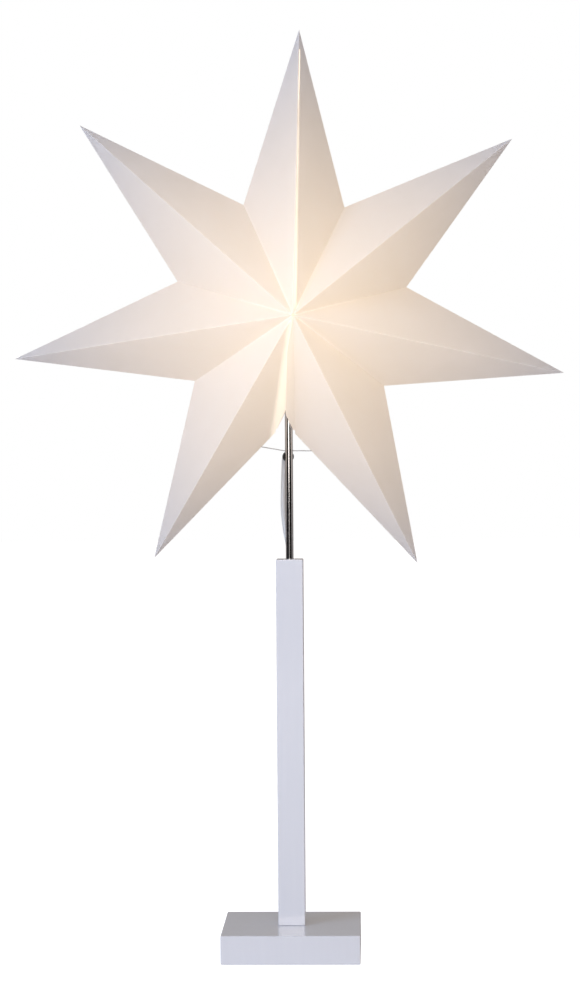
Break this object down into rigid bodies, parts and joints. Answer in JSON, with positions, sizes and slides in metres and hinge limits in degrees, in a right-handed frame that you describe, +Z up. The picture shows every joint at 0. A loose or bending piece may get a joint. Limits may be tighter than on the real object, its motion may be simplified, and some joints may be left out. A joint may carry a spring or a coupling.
{
  "type": "paper star lantern",
  "caption": "Folded white paper star shade, lit from inside, tied to a chromed tube on a square white post and base.",
  "frame": {"origin": "centre of the base plate's underside, on the floor", "axes": "+Z up along the post, -Y towards the viewer: the star's open seam and its front peak face -Y, the cord leaves towards +Y, +X is the viewer's right"},
  "size_m": [0.5599, 0.2425, 0.9408],
  "materials": {
    "white_lacquer": "glossy cool white lacquer over wood",
    "zinc_screw": "zinc-plated steel",
    "chrome_tube": "polished chrome",
    "black_rubber": "matt black rubber",
    "brown_wire": "brown wire insulation",
    "blue_wire": "blue wire insulation",
    "white_holder": "satin white heat-proof moulding",
    "white_ceramic": "unglazed ceramic",
    "brass_contact": "plain brass",
    "opal_bulb": "opal white glass, lit",
    "white_paper": "matt off-white card, folded",
    "grey_string": "thin twisted thread",
    "white_cord": "smooth white cord jacket",
    "grey_strap": "woven hook-and-loop strap",
    "white_plug": "moulded white plug",
    "nickel_pin": "nickel-plated brass"
  },
  "bodies": {
    "root": {"base_plate": "white_lacquer", "post": "white_lacquer", "base_screws": "zinc_screw", "lamp_tube": "chrome_tube", "cord_grommet": "black_rubber", "wire_brown": "brown_wire", "wire_blue": "blue_wire", "holder_cap": "white_holder", "holder_shell": "white_holder", "contact_block": "white_ceramic", "thread_sleeve": "brass_contact", "centre_contact": "brass_contact", "bulb": "opal_bulb", "tie_string": "grey_string", "power_cord": "white_cord", "cord_coil": "white_cord", "coil_strap": "grey_strap", "cord_tail": "white_cord", "plug_body": "white_plug", "plug_pin_left": "nickel_pin", "plug_pin_right": "nickel_pin", "star_point_1": "white_paper", "star_point_2": "white_paper", "star_point_3": "white_paper", "star_point_4": "white_paper", "star_point_5": "white_paper", "star_point_6": "white_paper", "star_point_7": "white_paper"}
  },
  "joints": []
}
